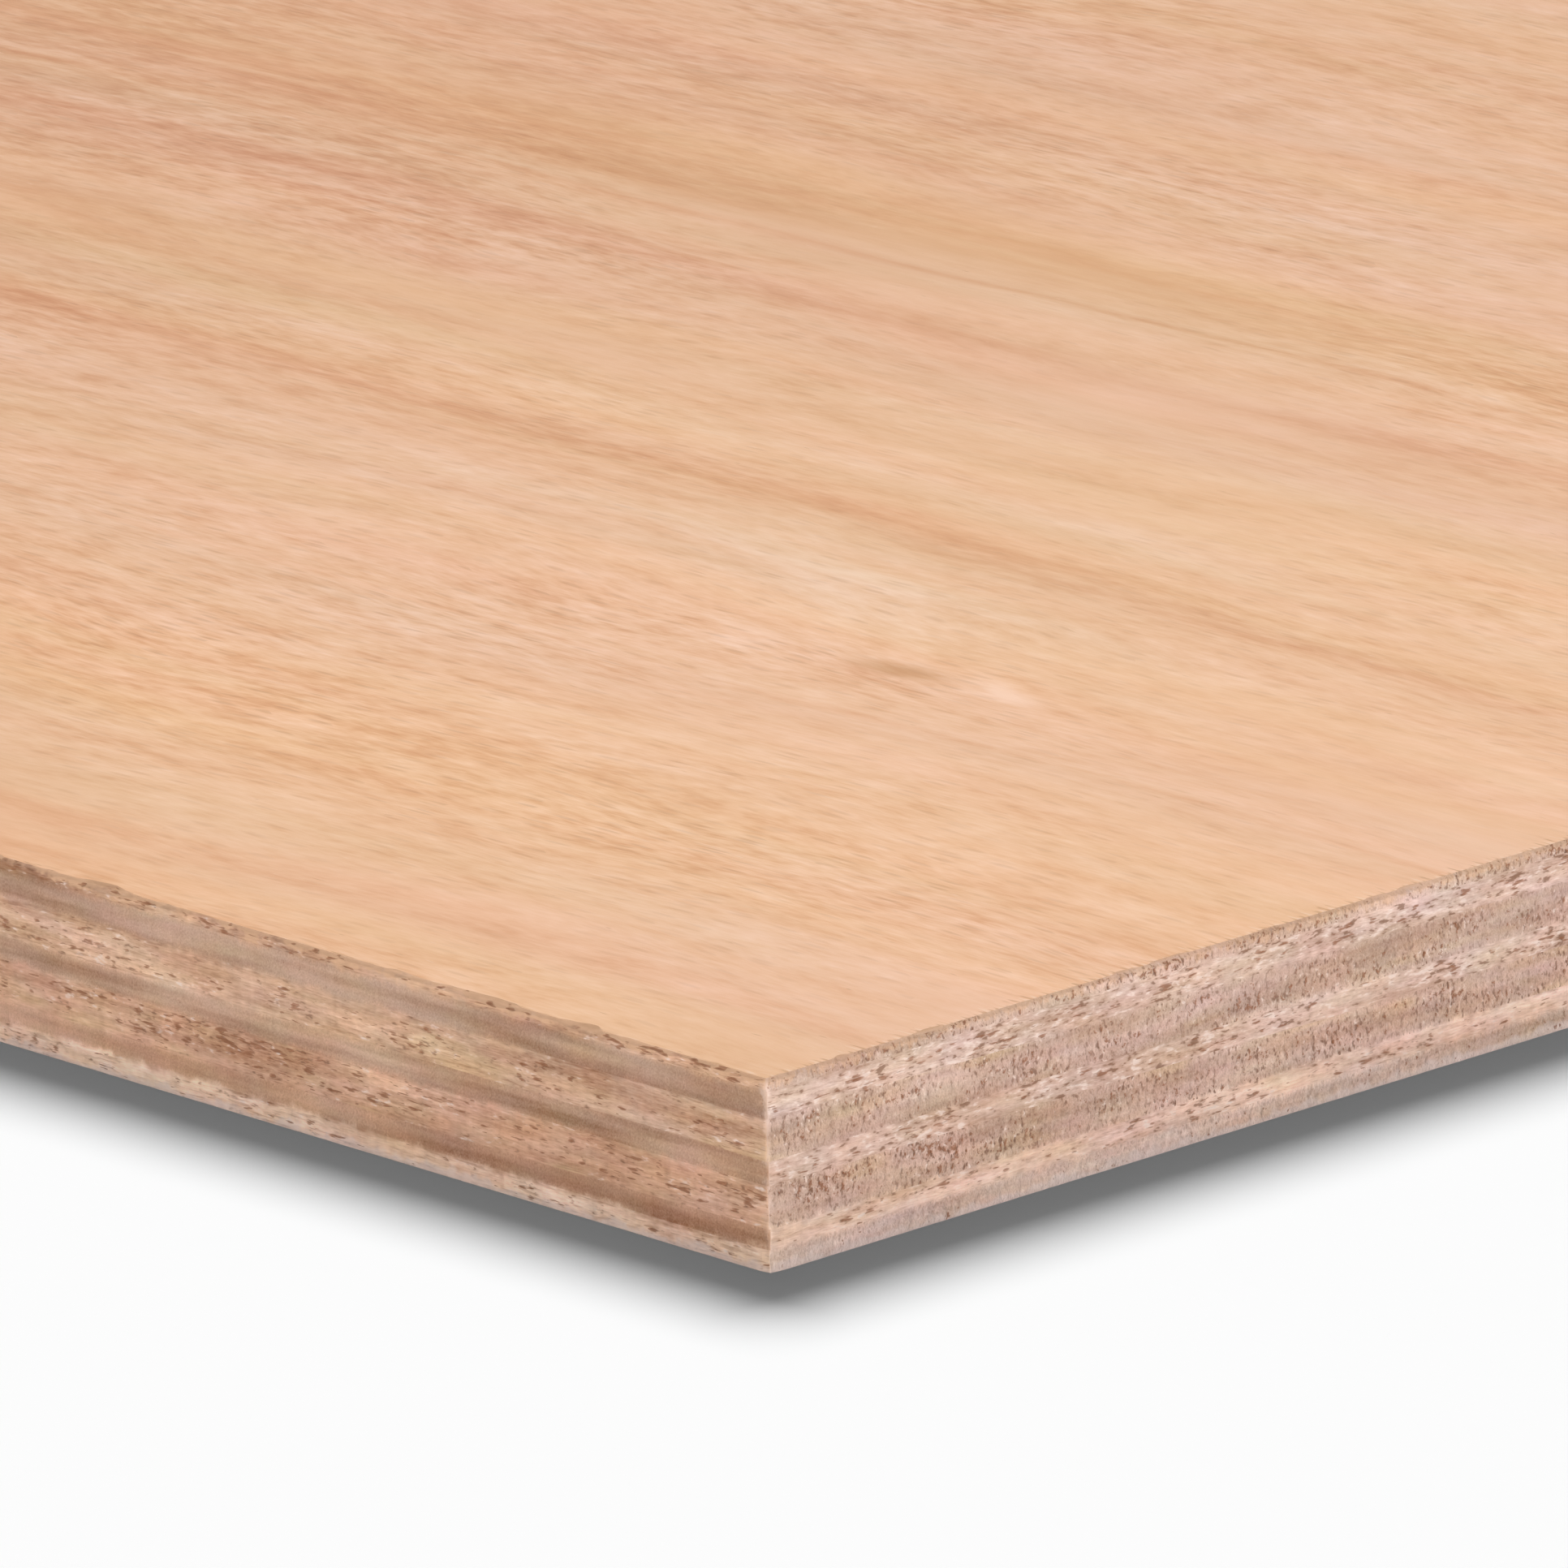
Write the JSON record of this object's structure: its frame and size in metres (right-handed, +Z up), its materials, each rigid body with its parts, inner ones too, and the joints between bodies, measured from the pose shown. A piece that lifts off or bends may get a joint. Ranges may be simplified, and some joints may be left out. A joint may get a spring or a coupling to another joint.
{
  "type": "plywood sheet",
  "caption": "Flat rectangular hardwood plywood sheet of glued cross-grained plies, with a sanded pinkish tan face and sawn edges, for cladding, decking and joinery.",
  "frame": {"origin": "middle of the sheet's underside", "axes": "+X along the sheet's length and the grain of its face, +Y across its width, +Z up out of its face"},
  "size_m": [2.44, 1.22, 0.018],
  "materials": {
    "face": "matte",
    "crossband": "matte",
    "long_core": "matte",
    "back": "matte"
  },
  "bodies": {
    "root": {"face_veneer": "face", "upper_crossband": "crossband", "upper_long_core": "long_core", "centre_crossband": "crossband", "lower_long_core": "long_core", "lower_crossband": "crossband", "back_veneer": "back"}
  },
  "joints": []
}
